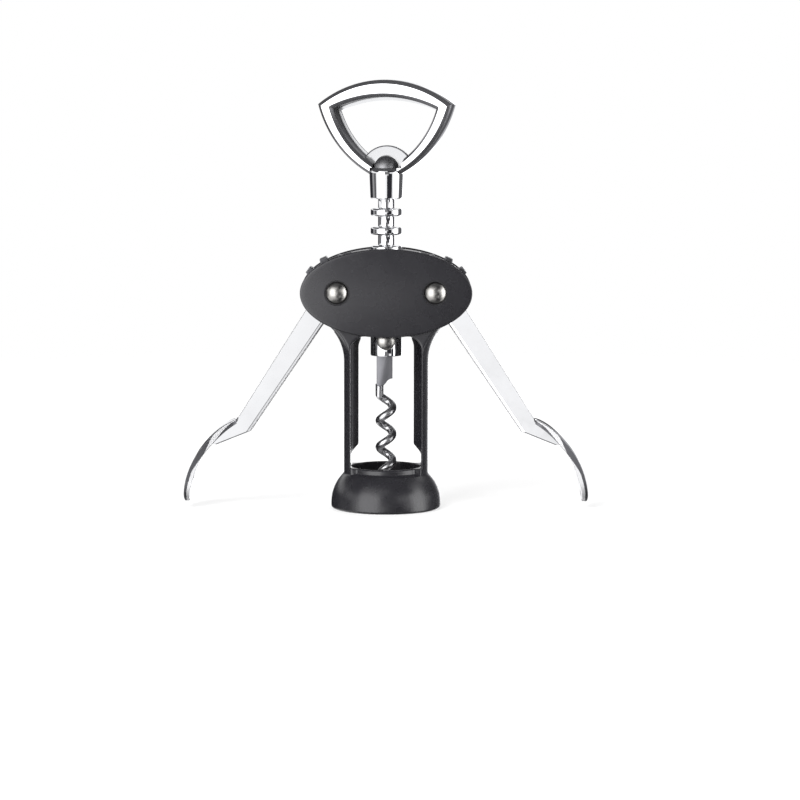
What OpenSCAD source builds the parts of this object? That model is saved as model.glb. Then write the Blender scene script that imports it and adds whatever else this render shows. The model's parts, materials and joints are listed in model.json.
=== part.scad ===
// Wing corkscrew: a moulded bell and frame, two geared levers, and a ringed rack on a
// turning spindle that carries the bottle-opener handle above and the worm below.
// Z is the shaft's axis, X runs across the two levers, and the bell stands on z = 0.

/* [Bell and legs] */
// Outer radius of the bell at its mouth
bell_r = 19.75; // [19:0.05:21]
// Height of the lip ring on top of the bell
lip_z = 15; // [14.5:0.1:16]
// Outer radius of that lip ring
lip_r = 13.4; // [13.3:0.1:13.8]
// Radius of the socket that takes the bottle's lip
socket_r = 15.6; // [15:0.1:16]
// Depth of the socket
socket_h = 8.1; // [7.5:0.1:8.4]
// Outer radius of the tube that the legs are cut from
leg_r = 15.15; // [14.8:0.05:15.4]
// Inner radius of that tube, clear of a swollen cork
throat_r = 12.4; // [12:0.1:12.8]
// Half width of the front window
front_window = 12.7; // [12.5:0.1:13]
// Half width of the back window between its two guide flanges
back_window = 10; // [9:0.1:11]
// Height where the guide flanges end
flange_end_z = 22; // [18:0.5:30]

/* [Head] */
// Half width of the oval head
head_a = 30.7; // [30.3:0.1:32]
// Half height of the oval head
head_b = 15.85; // [15.5:0.05:16.5]
// Height of the oval's centre
head_z = 78; // [77.5:0.1:78.5]
// Half depth of the head between its two covers
core_y = 8.6; // [8.4:0.1:9.5]
// Thickness of a cover at its middle
cover_t = 1.95; // [1.9:0.05:2.4]
// Half width of the slot for the levers
slot_y = 4.25; // [4:0.05:4.6]
// Radius of the bore that the rack slides in
bore_r = 6.4; // [6.3:0.05:6.8]

/* [Gears and rack] */
// Distance of each lever's pivot from the shaft's axis
pivot_x = 17.5; // [17.4:0.05:17.6]
// Height of the pivots
pivot_z = 78.15; // [77.9:0.05:78.3]
// Pitch radius of the geared lever ends
pitch_r = 12.72; // [12.7:0.01:12.74]
// Tooth spacing in degrees
tooth_step = 30; // [30]
// Tip radius of the teeth
tip_r = 13.9; // [13.8:0.1:14.2]
// Root radius of the teeth
root_r = 11.1; // [10.8:0.1:11.2]
// Tooth thickness on the pitch circle
tooth_w = 2.8; // [2.7:0.1:3.2]
// Radius of the rack's rings
ring_r = 5.6; // [5.5:0.05:5.7]
// Thickness of a ring
ring_t = 2.8; // [2.6:0.1:2.9]
// Radius of the rack between its rings
shaft_r = 2.95; // [2.8:0.05:3]

/* [Pins] */
// Radius of the pivot pins
pin_r = 2.5; // [2:0.1:3]
// Radius of their domed heads
dome_r = 4; // [3.8:0.1:4.2]
// Radial running clearance on the pins and on the spindle
running = 0.05; // [0.03:0.01:0.08]

/* [Levers] */
// Thickness of the gear end
gear_y = 6.8; // [6:0.1:7]
// Thickness of the arm
arm_y = 6.4; // [6:0.1:6.8]
// Width of the thumb paddle
paddle_w = 15; // [12:0.5:17]
// Outer radius of the paddle's curve
paddle_r = 30; // [29:0.5:31]
// Thickness of the paddle
paddle_t = 2.2; // [1.8:0.1:2.6]

/* [Handle] */
// How far the handle stands turned about the shaft
handle_turn = -21; // [-30:1:0]
// Height of the top of the ring
handle_top_z = 153.6; // [152:0.1:155]
// Radius of the ring's top arc
handle_top_r = 41.95; // [41:0.05:44]
// Radius of the ring's side arcs
handle_side_r = 40.5; // [40:0.05:42]
// Width of the ring's band
band_w = 7.4; // [6.5:0.1:8]
// Thickness of the ring
band_t = 6.6; // [5.5:0.1:7]
// Width of the bevel on each edge of the band
bevel = 2.1; // [1.6:0.1:2.3]
// Radius of the hub at its lower end
hub_r = 5.7; // [5.5:0.05:5.75]
// Height of the hub's lower end
hub_z = 111.4; // [111.2:0.1:111.8]

/* [Worm] */
// Diameter of the worm's wire
wire_d = 2.9; // [2.4:0.1:3.1]
// Radius of the worm's centre line
worm_r = 2.35; // [2.2:0.05:2.6]
// Rise of the worm in one turn
worm_pitch = 9.6; // [8:0.1:11]
// Height of the worm's point
worm_tip_z = 10.6; // [10:0.1:14]

/* [Hidden] */
$fn = 96;
eps = 0.01;
oval_points = 72;

// Bell
bell_curve_r = 15;
bell_curve_z = 1.8;
shoulder_r = 15.3;
bell_edge = 0.6;
lip_base_z = 12.8;
seat_t = 1.3;
seat_r = socket_r - 0.6;

// The flare under the head touches the oval at flare_x, and the leg at its lower end
flare_x = 23.4;
flare_t = acos(flare_x / head_a);
flare_n = [cos(flare_t) / head_a, -sin(flare_t) / head_b] / norm([cos(flare_t) / head_a, sin(flare_t) / head_b]);
flare_r = (flare_x - leg_r) / (1 - flare_n[0]);
flare_c = [flare_x + flare_r * flare_n[0], head_z - head_b * sin(flare_t) + flare_r * flare_n[1]];
core_inset = 0.45;
window_top = 62.5;
window_corner = 5.2;
guide_r = 6.8;
guide_h = 5;
slot_r = tip_r + 0.6;

// Covers
recess_r = 4.55;
recess_y = core_y + 0.6;
dome_h = 2.2;
spigot_r = 1.5;
spigot_h = 1.2;
washer_r = 5.6;
washer_gap = 0.05;

// Gears: the first tooth stands at first_tooth from the line between pivot and shaft
first_tooth = -7;
teeth = 6;
pressure = 20;
base_r = pitch_r * cos(pressure);
rack_step = 2 * PI * pitch_r * tooth_step / 360;
first_ring_z = pivot_z + pitch_r * first_tooth * PI / 180 - rack_step / 2;
ring_edge = 0.8;
stop_r = 12.8;

// Rack, spindle and collar
sleeve_z = 69.6;
rod_r = 1.8;
collar_r = 5.6;
collar_z = 55;
collar_top = 69.5;
rod_z = 64.6;
worm_pin_z = 60.8;
worm_pin_r = 1.6;
worm_pin_fit = 0.02;
worm_head_r = 3.35;
worm_head_y = 4.45;
worm_head_edge = 0.6;
worm_head_h = 1.45;

// Worm: a flat shank, stepped down to the wire at its left
shank_x0 = -3.4;
shank_x1 = 2.3;
shank_step_x = -0.9;
shank_t = 3;
shank_z = 46.8;
shank_top_z = 64;
shank_fit = 0.05;
wire_top_z = 44.8;
helix_top_z = 41;
worm_turns = (helix_top_z - worm_tip_z) / worm_pitch;
worm_rings = 66;
worm_sides = 10;

// Levers: the arm's two edges, as seen on the left one
arm_root_out = [-22.64, 81.3];
arm_root_in = [-16.46, 77.4];
arm_end_out = [-53.1, 32.9];
arm_end_in = [-49.4, 28.7];
knee = [-49, 27.7];
rib_end = [-61, 22.9];
paddle_c = [-42.8, 3.5];
paddle_from = 109;
paddle_to = 182.5;
paddle_len = 2 * paddle_r * sin((paddle_to - paddle_from) / 2) + 0.6;
paddle_top_w = 9;

// Handle
hub_top_r = 6.05;
hub_top_z = 120.2;
side_c = [13.25, 155.6];
head_seat_z = 122.3;
head_seat_r = 5.7;
ring_steps = 20;
spindle_head_r = 4.5;
spindle_head_edge = 0.2;
spindle_head_h = 4.1;
head_pocket_r = 6.2;
lifter_r = 10.7;
lifter_t = 1.4;
lifter_z = 119.6;
lifter_y = 0.4;

// ---- shared shapes ----

// An extrusion along Y of a profile drawn in X and Z, between two depths
module slab(y0, y1) {
    translate([0, y1, 0]) rotate([90, 0, 0]) linear_extrude(y1 - y0) children();
}

// A cylinder along Y
module rod_y(x, z, r, y0, y1) {
    translate([x, y0, z]) rotate([-90, 0, 0]) cylinder(h = y1 - y0, r = r);
}

function oval(a, b, z) = [for (i = [0:oval_points - 1])
    let (t = 360 * i / oval_points) [a * cos(t), z + b * sin(t)]];

function arc(c, r, a0, a1, n) = [for (i = [0:n]) let (t = a0 + (a1 - a0) * i / n) c + r * [cos(t), sin(t)]];

// A closed skin over rings of equal length, from the first ring to the last
module skin(rings) {
    n = len(rings[0]);
    last = (len(rings) - 1) * n;
    sides = [for (i = [0:len(rings) - 2]) for (k = [0:n - 1])
        let (a = i * n + k, b = i * n + (k + 1) % n)
        each [[a, b + n, b], [a, a + n, b + n]]];
    polyhedron([for (r = rings) each r], concat(sides, [[for (k = [0:n - 1]) k], [for (k = [n - 1:-1:0]) last + k]]));
}

// ---- frame ----

function bell_outline() = concat(
    [[0, 0], [bell_r - bell_edge, 0], [bell_r, bell_edge]],
    arc([bell_r - bell_curve_r, bell_curve_z], bell_curve_r, 0,
        acos((shoulder_r - bell_r + bell_curve_r) / bell_curve_r), 16),
    [[lip_r + 0.8, lip_base_z], [lip_r, lip_base_z], [lip_r, lip_z - 0.4], [lip_r - 0.4, lip_z], [0, lip_z]]);

function leg_outline() = concat(
    [[0, lip_base_z - 2], [leg_r, lip_base_z - 2], [leg_r, flare_c[1]]],
    arc(flare_c, flare_r, 180, 180 - flare_angle(), 16),
    [[0, head_z - head_b * sin(flare_t)]]);

function flare_angle() = acos(flare_n[0]);

function window_outline(half, low, high) = concat([[-half, low], [half, low]],
    arc([half - window_corner, high - window_corner], window_corner, 0, 90, 8),
    arc([window_corner - half, high - window_corner], window_corner, 90, 180, 8));

module head_slot() {
    slab(-slot_y, slot_y) for (s = [-1, 1]) translate([s * pivot_x, pivot_z]) circle(slot_r);
}

module frame() {
    color("#3c3b40") difference() {
        union() {
            rotate_extrude() polygon(bell_outline());
            intersection() {
                rotate_extrude() polygon(leg_outline());
                translate([-head_a, -core_y, 0]) cube([2 * head_a, 2 * core_y, head_z]);
            }
            slab(-core_y, core_y) polygon(oval(head_a - core_inset, head_b - core_inset, head_z));
        }
        translate([0, 0, -eps]) cylinder(h = socket_h + eps, r = socket_r);
        translate([0, 0, -eps]) cylinder(h = 1.6, r1 = socket_r + 1.6, r2 = socket_r);
        translate([0, 0, socket_h - eps]) cylinder(h = seat_t + eps, r = seat_r);
        cylinder(h = window_top, r = throat_r);
        slab(-bell_r, 0) polygon(window_outline(front_window, lip_z, window_top));
        slab(0, bell_r) polygon(window_outline(back_window, flange_end_z, window_top));
        slab(0, bell_r) polygon([[-front_window, lip_z], [front_window, lip_z],
            [front_window, flange_end_z - 2.7], [back_window, flange_end_z], [-back_window, flange_end_z],
            [-front_window, flange_end_z - 2.7]]);
        translate([0, 0, window_top - eps]) cylinder(h = guide_h + eps, r = guide_r);
        translate([0, 0, window_top + guide_h - eps]) cylinder(h = 2 * head_b, r = bore_r);
        head_slot();
        for (s = [-1, 1]) rod_y(s * pivot_x, pivot_z, pin_r, -core_y - eps, core_y + eps);
    }
}

module neck_seat() {
    color("#8c8c88") translate([0, 0, socket_h]) difference() {
        cylinder(h = seat_t, r = seat_r);
        translate([0, 0, -eps]) cylinder(h = seat_t + 2 * eps, r = throat_r);
    }
}

// ---- covers, with a crowned face and a rounded rim ----

// Crown of the cover: inset from the full oval, and height above the core
cover_crown = [[0, 0], [0, 0.8], [0.3, 1.3], [1.1, 1.65], [4, 1.85], [9, cover_t]];

module cover() {
    color("#3c3b40") difference() {
        skin([for (c = cover_crown) [for (p = oval(head_a - c[0], head_b - c[0], head_z)) [p[0], -core_y - c[1], p[1]]]]);
        for (s = [-1, 1]) {
            rod_y(s * pivot_x, pivot_z, recess_r, -core_y - 5, -recess_y);
            rod_y(s * pivot_x, pivot_z, pin_r, -core_y - 5, -core_y + eps);
        }
    }
}

module front_cover() { cover(); }

module back_cover() { rotate([0, 0, 180]) cover(); }

// ---- pivot pins and washers ----

// A spherical cap that stands on z = 0
module dome(r, h) {
    ball = (r * r + h * h) / (2 * h);
    intersection() {
        translate([0, 0, h - ball]) sphere(ball);
        cylinder(h = h, r = r);
    }
}

module pin(side) {
    color("#9a988f") {
        translate([side * pivot_x, -recess_y, pivot_z]) rotate([90, 0, 0]) dome(dome_r, dome_h);
        rod_y(side * pivot_x, pivot_z, pin_r, -recess_y, recess_y);
        rod_y(side * pivot_x, pivot_z, spigot_r, recess_y - eps, recess_y + spigot_h);
    }
}

module pin_cap(side) {
    color("#9a988f") difference() {
        translate([side * pivot_x, recess_y, pivot_z]) rotate([-90, 0, 0]) dome(dome_r, dome_h);
        rod_y(side * pivot_x, pivot_z, spigot_r, recess_y - eps, recess_y + spigot_h);
    }
}

module left_pin() { pin(-1); }

module right_pin() { pin(1); }

module left_pin_cap() { pin_cap(-1); }

module right_pin_cap() { pin_cap(1); }

module washer(side, face) {
    y0 = face > 0 ? gear_y / 2 + washer_gap : -slot_y + washer_gap;
    y1 = face > 0 ? slot_y - washer_gap : -gear_y / 2 - washer_gap;
    color("#d9d6cc") difference() {
        rod_y(side * pivot_x, pivot_z, washer_r, y0, y1);
        rod_y(side * pivot_x, pivot_z, pin_r, y0 - eps, y1 + eps);
    }
}

module left_front_washer() { washer(-1, -1); }

module left_back_washer() { washer(-1, 1); }

module right_front_washer() { washer(1, -1); }

module right_back_washer() { washer(1, 1); }

// ---- levers: gear sector, arm and thumb paddle in one casting ----

function involute(r) = let (p = acos(base_r / r)) tan(p) - p * PI / 180;

// Half the angle of a tooth at radius r, in degrees
function half_tooth(r) = (tooth_w / 2 / pitch_r + involute(pitch_r) - involute(max(r, base_r))) * 180 / PI;

function tooth_flank() = [for (i = [0:5]) base_r + (tip_r - base_r) * i / 5];

module tooth() {
    flank = tooth_flank();
    foot = half_tooth(base_r);
    polygon(concat([[0, 0], root_r * [cos(foot), -sin(foot)]],
        [for (r = flank) r * [cos(half_tooth(r)), -sin(half_tooth(r))]],
        [for (i = [5:-1:0]) let (r = flank[i]) r * [cos(half_tooth(r)), sin(half_tooth(r))]],
        [root_r * [cos(foot), sin(foot)]]));
}

module gear_sector() {
    circle(root_r);
    for (i = [0:teeth - 1]) rotate(first_tooth + i * tooth_step) tooth();
    polygon(concat([[0, 0]], arc([0, 0], stop_r, -27, -60, 4)));
}

module arm_outline() {
    polygon(concat([arm_root_out, arm_end_out],
        arc(paddle_c, paddle_r - paddle_t / 2, paddle_from + 2, 137, 6),
        [rib_end, knee, arm_end_in, arm_root_in]));
}

// The paddle's outline on the plane square to its middle, an egg that narrows towards the arm
function paddle_outline() = concat(
    arc([paddle_w / 2 - paddle_len / 2, 0], paddle_w / 2, 90, 270, 12),
    arc([paddle_len / 2 - paddle_top_w / 2, 0], paddle_top_w / 2, -90, 90, 8));

module paddle() {
    mid = (paddle_from + paddle_to) / 2;
    intersection() {
        slab(-paddle_w / 2 - 1, paddle_w / 2 + 1) translate(paddle_c) polygon(concat(
            arc([0, 0], paddle_r, paddle_from, paddle_to, 24),
            arc([0, 0], paddle_r - paddle_t, paddle_to, paddle_from, 24)));
        translate([paddle_c[0], 0, paddle_c[1]]) rotate([0, 90 - mid, 0]) linear_extrude(paddle_r + 5)
            polygon(paddle_outline());
    }
}

module left_lever() {
    color("#c9cbd0") {
        difference() {
            union() {
                slab(-gear_y / 2, gear_y / 2) translate([-pivot_x, pivot_z]) gear_sector();
                slab(-arm_y / 2, arm_y / 2) arm_outline();
            }
            rod_y(-pivot_x, pivot_z, pin_r + running, -gear_y, gear_y);
        }
        paddle();
    }
}

module right_lever() { mirror([1, 0, 0]) left_lever(); }

// ---- rack and spindle ----

module rack_ring(z) {
    translate([0, 0, z - ring_t / 2]) rotate_extrude() polygon(concat([[0, 0]],
        arc([ring_r - ring_edge, ring_edge], ring_edge, -90, 0, 4),
        arc([ring_r - ring_edge, ring_t - ring_edge], ring_edge, 0, 90, 4), [[0, ring_t]]));
}

module rack_sleeve() {
    color("#c9cbd0") difference() {
        union() {
            translate([0, 0, sleeve_z]) cylinder(h = hub_z - 0.1 - sleeve_z, r = shaft_r);
            for (i = [0:5]) rack_ring(first_ring_z + i * rack_step);
        }
        translate([0, 0, sleeve_z - eps]) cylinder(h = hub_z - sleeve_z + 2 * eps, r = rod_r + running);
    }
}

module spindle_rod() {
    color("#a5a7ab") {
        translate([0, 0, rod_z]) cylinder(h = head_seat_z - rod_z + eps, r = rod_r);
        translate([0, 0, head_seat_z]) cylinder(h = spindle_head_edge, r = spindle_head_r);
        translate([0, 0, head_seat_z + spindle_head_edge]) dome(spindle_head_r, spindle_head_h);
    }
}

module worm_collar() {
    color("#c9cbd0") difference() {
        translate([0, 0, collar_z]) cylinder(h = collar_top - collar_z, r = collar_r);
        translate([0, 0, rod_z]) cylinder(h = collar_top, r = rod_r);
        translate([shank_x0 - shank_fit, -shank_t / 2 - shank_fit, collar_z - eps])
            cube([shank_x1 - shank_x0 + 2 * shank_fit, shank_t + 2 * shank_fit, shank_top_z + shank_fit - collar_z]);
        rod_y(0, worm_pin_z, worm_pin_r + worm_pin_fit, -collar_r - 1, collar_r + 1);
        rod_y(0, worm_pin_z, worm_head_r + worm_pin_fit, -collar_r - 1, -worm_head_y);
    }
}

// ---- handle ----

// Crossing of two circles, to the right of the line from the first centre to the second
function meet(c0, r0, c1, r1) = let (v = c1 - c0, l = norm(v), a = (r0 * r0 - r1 * r1 + l * l) / (2 * l))
    c0 + (a * v + sqrt(r0 * r0 - a * a) * [v[1], -v[0]]) / l;

function angle_of(v) = atan2(v[1], v[0]);

// The ring's outline inset by d: a top arc, then a side arc down to the hub on either side
function ring_points(d) = let (
    top_c = [0, handle_top_z - handle_top_r],
    left_c = [-side_c[0], side_c[1]],
    corner = meet(top_c, handle_top_r - d, left_c, handle_side_r - d),
    a = angle_of(corner - top_c),
    b = angle_of(corner - left_c),
    low = -acos(side_c[0] / (handle_side_r - d)))
    concat(arc(top_c, handle_top_r - d, a, 180 - a, ring_steps),
        [for (i = [1:ring_steps]) let (t = 180 - b - (low - b) * i / ring_steps)
            side_c + (handle_side_r - d) * [cos(t), sin(t)]],
        [for (i = [1:ring_steps - 1]) let (t = low + (b - low) * i / ring_steps)
            left_c + (handle_side_r - d) * [cos(t), sin(t)]]);

function at_depth(points, y) = [for (q = points) [q[0], y, q[1]]];

// Depth and inset of the band's edges, from back to front
flat_y = band_t / 2 - bevel;
ring_outside = [[band_t / 2, bevel], [flat_y, 0], [-flat_y, 0], [-band_t / 2, bevel]];
ring_inside = [[band_t / 2 + 1, band_w - bevel - 1], [flat_y, band_w], [-flat_y, band_w],
    [-band_t / 2 - 1, band_w - bevel - 1]];

module handle_solid() {
    difference() {
        union() {
            skin([for (e = ring_outside) at_depth(ring_points(e[1]), e[0])]);
            translate([0, 0, hub_z]) cylinder(h = hub_top_z - hub_z, r1 = hub_r, r2 = hub_top_r);
            translate([0, 0, hub_top_z]) cylinder(h = head_seat_z - hub_top_z, r1 = hub_top_r, r2 = head_seat_r);
        }
        skin([for (e = ring_inside) at_depth(ring_points(e[1]), e[0])]);
        translate([0, 0, hub_z - eps]) cylinder(h = head_seat_z - hub_z + 2 * eps, r = rod_r);
        translate([0, 0, head_seat_z]) cylinder(h = lifter_r, r = head_pocket_r);
        lifter_plate();
    }
}

module handle() {
    color("#c9cbd0") rotate([0, 0, handle_turn]) handle_solid();
}

// A thin lip behind the middle of the ring, let into its band and clear of the spindle's head
module lifter_plate() {
    difference() {
        slab(lifter_y, lifter_y + lifter_t) intersection() {
            translate([0, lifter_z]) circle(lifter_r);
            polygon(ring_points(bevel));
            translate([-lifter_r, head_seat_z]) square(2 * lifter_r);
        }
        translate([0, 0, head_seat_z - 1])
            cylinder(h = spindle_head_edge + spindle_head_h + 1.3, r = head_pocket_r);
    }
}

module cap_lifter() {
    color("#d5d7da") rotate([0, 0, handle_turn]) lifter_plate();
}

// ---- worm ----

module worm_pin() {
    color("#8a8a8c") {
        rod_y(0, worm_pin_z, worm_pin_r, -worm_head_y - eps, collar_r - 0.4);
        rod_y(0, worm_pin_z, worm_head_r, -worm_head_y - worm_head_edge, -worm_head_y);
        translate([0, -worm_head_y - worm_head_edge, worm_pin_z]) rotate([90, 0, 0]) dome(worm_head_r, worm_head_h);
    }
}

// Centre line of the worm from the end of its straight run (t = 0) to its point (t = 1), wound right-handed
function worm_angle(t) = 180 - 360 * worm_turns * t;

function worm_centre(t) = [worm_r * cos(worm_angle(t)), worm_r * sin(worm_angle(t)),
    helix_top_z - (helix_top_z - worm_tip_z) * t];

function wire_r(t) = wire_d / 2 * min(1, 0.04 + sqrt((1 - t) * worm_turns / 0.5));

// Points round the wire at t, square to the wire
function worm_ring(t) = [for (k = [0:worm_sides - 1]) let (b = 360 * k / worm_sides, a = worm_angle(t))
    worm_centre(t) + wire_r(t) * (cos(b) * [cos(a), sin(a), 0] + sin(b) * wire_up(a))];

// Direction square to both the radius and the wire
function wire_up(a) = let (run = 2 * PI * worm_r, l = norm([run, worm_pitch]))
    [worm_pitch * sin(a) / l, -worm_pitch * cos(a) / l, run / l];

// The straight run from the shank, level ring by level ring, eased into the helix
function straight_ring(z, ease) = [for (k = [0:worm_sides - 1]) let (b = 360 * k / worm_sides, up = wire_up(180))
    [-worm_r - wire_d / 2 * cos(b), wire_d / 2 * sin(b) * (up[1] * ease + 1 - ease), z + wire_d / 2 * sin(b) * up[2] * ease]];

module worm_wire() {
    skin(concat([for (i = [0:3]) straight_ring(wire_top_z - (wire_top_z - helix_top_z - 0.6) * i / 3, i / 5)],
        [for (i = [0:worm_rings]) worm_ring(i / worm_rings)]));
}

module shank() {
    difference() {
        slab(-shank_t / 2, shank_t / 2) polygon(concat(
            [[shank_x1, shank_z], [shank_x1, shank_top_z], [shank_x0, shank_top_z],
             [shank_x0, wire_top_z - 0.5], [-worm_r, wire_top_z - 1.2], [shank_step_x, wire_top_z - 0.5]],
            arc([shank_x1, wire_top_z - 0.5], shank_z - wire_top_z + 0.5, 180, 90, 6)));
        rod_y(0, worm_pin_z, worm_pin_r + worm_pin_fit, -shank_t, shank_t);
    }
}

module worm() {
    color("#7c7c82") {
        shank();
        worm_wire();
    }
}

frame();
front_cover();
back_cover();
neck_seat();
left_pin();
right_pin();
left_pin_cap();
right_pin_cap();
left_front_washer();
left_back_washer();
right_front_washer();
right_back_washer();
left_lever();
right_lever();
rack_sleeve();
spindle_rod();
handle();
cap_lifter();
worm_collar();
worm_pin();
worm();
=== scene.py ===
import json
import math

import bmesh
import bpy
from mathutils import Matrix, Vector


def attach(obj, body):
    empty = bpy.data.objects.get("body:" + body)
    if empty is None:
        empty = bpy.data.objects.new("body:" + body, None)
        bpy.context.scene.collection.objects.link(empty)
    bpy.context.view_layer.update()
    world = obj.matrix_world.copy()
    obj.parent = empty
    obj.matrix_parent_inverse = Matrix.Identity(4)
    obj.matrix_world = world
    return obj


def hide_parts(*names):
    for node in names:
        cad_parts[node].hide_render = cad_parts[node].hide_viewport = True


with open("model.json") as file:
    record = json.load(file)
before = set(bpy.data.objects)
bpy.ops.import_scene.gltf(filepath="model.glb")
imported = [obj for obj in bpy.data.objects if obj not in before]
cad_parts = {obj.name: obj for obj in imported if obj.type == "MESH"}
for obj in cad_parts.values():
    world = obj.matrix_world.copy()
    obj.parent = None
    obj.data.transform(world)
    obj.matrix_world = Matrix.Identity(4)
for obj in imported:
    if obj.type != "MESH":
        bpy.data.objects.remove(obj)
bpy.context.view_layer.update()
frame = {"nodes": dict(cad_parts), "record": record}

MM = 0.001
TAU = 2 * math.pi

# ---- sizes, in mm, as in the part's source ----

# frame, oval head and pivots
THROAT_R = 12.4
HEAD_A, HEAD_B, HEAD_Z, CORE_Y = 30.7, 15.85, 78.0, 8.6
PIVOT_X, PIVOT_Z, PIN_R, DOME_R, DOME_H = 17.5, 78.15, 2.5, 4.0, 2.2
COVER_T, RECESS_R, RECESS_Y, WASHER_R = 1.95, 4.55, CORE_Y + 0.6, 5.6
# gears, with the angles in degrees, and the ringed rack
PITCH_R, ROOT_R, TOOTH_W, TOOTH_STEP, FIRST_TOOTH, TEETH, PRESSURE = 12.72, 11.1, 2.8, 30.0, -7.0, 6, 20
BASE_R = PITCH_R * math.cos(math.radians(PRESSURE))
STOP_R, GEAR_T, ARM_T = 12.8, 6.8, 6.4
RING_R, RING_T, RING_EDGE, SHAFT_R, SLEEVE_Z = 5.6, 2.8, 0.8, 2.95, 69.6
# spindle: its rod, and its domed head in the handle
ROD_R, ROD_Z, SPINDLE_HEAD_R, SPINDLE_HEAD_EDGE, SPINDLE_HEAD_H = 1.8, 64.6, 4.5, 0.2, 4.1
# handle: its hub, the ring's top arc and side arcs, and the cap lifter
HUB_R, HUB_TOP_R, HUB_Z, HUB_TOP_Z, HEAD_SEAT_Z, HEAD_POCKET_R = 5.7, 6.05, 111.4, 120.2, 122.3, 6.2
HANDLE_TURN = math.radians(-21)
TOP_Z, TOP_R, SIDE_R, SIDE_C, BAND_T = 153.6, 41.95, 40.5, (13.25, 155.6), 6.6
LIFTER_R, LIFTER_Z = 10.7, 119.6
# collar with its cross pin, and worm with its flat shank
COLLAR_R, COLLAR_Z, COLLAR_TOP_Z = 5.6, 55, 69.5
CROSS_PIN_Z, CROSS_PIN_R, CROSS_HEAD_R, CROSS_HEAD_Y, CROSS_HEAD_H = 60.8, 1.6, 3.35, 4.45, 1.45
WORM_R, WIRE_R, WIRE_TOP, HELIX_TOP, WORM_TIP, WORM_PITCH = 2.35, 1.45, 44.8, 41.0, 10.6, 9.6
SHANK_X0, SHANK_X1, SHANK_T = -3.4, 2.3, 3

# ---- sizes, in mm, where this file follows the photo more closely than the source ----

TIP_R = 13.2
HEAD_POCKET_C = (1.5, -0.6)
HOLE_TOP_R, HOLE_SIDE_R, HOLE_SIDE_C = 54.0, 39.5, (13.25, 153.2)


# ---- mesh helpers ----

def new_object(name, bm, smooth=True):
    bmesh.ops.recalc_face_normals(bm, faces=bm.faces)
    mesh = bpy.data.meshes.new(name)
    bm.to_mesh(mesh)
    bm.free()
    for p in mesh.polygons:
        p.use_smooth = smooth
    o = bpy.data.objects.new(name, mesh)
    bpy.context.scene.collection.objects.link(o)
    return o


def sharpen(o, degrees):
    """Smooth shading, with sharp edges where the faces turn by more than this."""
    mesh = o.data
    bm = bmesh.new()
    bm.from_mesh(mesh)
    limit = math.radians(degrees)
    for e in bm.edges:
        e.smooth = len(e.link_faces) == 2 and e.calc_face_angle(0.0) < limit
    for f in bm.faces:
        f.smooth = True
    bm.to_mesh(mesh)
    bm.free()
    return o


def loft(rings, closed=False):
    """A skin over rings of equally many points, in mm: capped at both ends, or closed into a loop."""
    bm = bmesh.new()
    rows = [[bm.verts.new(Vector(p) * MM) for p in ring] for ring in rings]
    n = len(rows[0])
    pairs = list(zip(rows, rows[1:])) + ([(rows[-1], rows[0])] if closed else [])
    for a, b in pairs:
        for k in range(n):
            bm.faces.new((a[k], a[(k + 1) % n], b[(k + 1) % n], b[k]))
    if not closed:
        bm.faces.new(rows[0])
        bm.faces.new(rows[-1])
    return bm


def polar(r, angle):
    return r * math.cos(angle), r * math.sin(angle)


def lathe_object(name, profile, n=96, closed=False):
    """Turns (radius, z) points about Z. A closed profile makes a ring with a bore."""
    bm = loft([[(*polar(max(r, 0.001), TAU * k / n), z) for k in range(n)] for r, z in profile], closed)
    bmesh.ops.remove_doubles(bm, verts=bm.verts, dist=0.002 * MM)
    return new_object(name, bm)


def arc(c, r, a0, a1, n):
    return [(c[0] + r * math.cos(math.radians(a0 + (a1 - a0) * i / n)),
             c[1] + r * math.sin(math.radians(a0 + (a1 - a0) * i / n))) for i in range(n + 1)]


def apply_modifiers(o):
    graph = bpy.context.evaluated_depsgraph_get()
    mesh = bpy.data.meshes.new_from_object(o.evaluated_get(graph))
    o.modifiers.clear()
    o.data = mesh
    return o


def boolean(o, tool, operation):
    m = o.modifiers.new("cut", "BOOLEAN")
    m.operation = operation
    m.solver = "MANIFOLD"
    m.object = tool
    bpy.context.view_layer.update()
    apply_modifiers(o)
    bpy.data.objects.remove(tool)
    return o


def solid_copy(node, name):
    o = bpy.data.objects.new(name, frame["nodes"][node].data.copy())
    bpy.context.scene.collection.objects.link(o)
    bm = bmesh.new()
    bm.from_mesh(o.data)
    bmesh.ops.remove_doubles(bm, verts=bm.verts, dist=0.001 * MM)
    bm.to_mesh(o.data)
    bm.free()
    o.data.materials.clear()
    return o


# ---- materials ----

def material(name, colour, roughness, metallic=0.0, **sockets):
    m = bpy.data.materials.new(name)
    m.use_nodes = True
    shader = m.node_tree.nodes["Principled BSDF"]
    shader.inputs["Base Color"].default_value = (*colour, 1)
    shader.inputs["Metallic"].default_value = metallic
    shader.inputs["Roughness"].default_value = roughness
    for key, value in sockets.items():
        shader.inputs[key.replace("_", " ")].default_value = value
    return m, m.node_tree, shader


def noise(tree, scale, detail, rough=0.5, stretch=(1, 1, 1)):
    coords = tree.nodes.new("ShaderNodeTexCoord")
    mapping = tree.nodes.new("ShaderNodeMapping")
    mapping.inputs["Scale"].default_value = stretch
    texture = tree.nodes.new("ShaderNodeTexNoise")
    texture.inputs["Scale"].default_value = scale
    texture.inputs["Detail"].default_value = detail
    texture.inputs["Roughness"].default_value = rough
    tree.links.new(coords.outputs["Object"], mapping.inputs["Vector"])
    tree.links.new(mapping.outputs["Vector"], texture.inputs["Vector"])
    return texture.outputs["Fac"]


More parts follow.
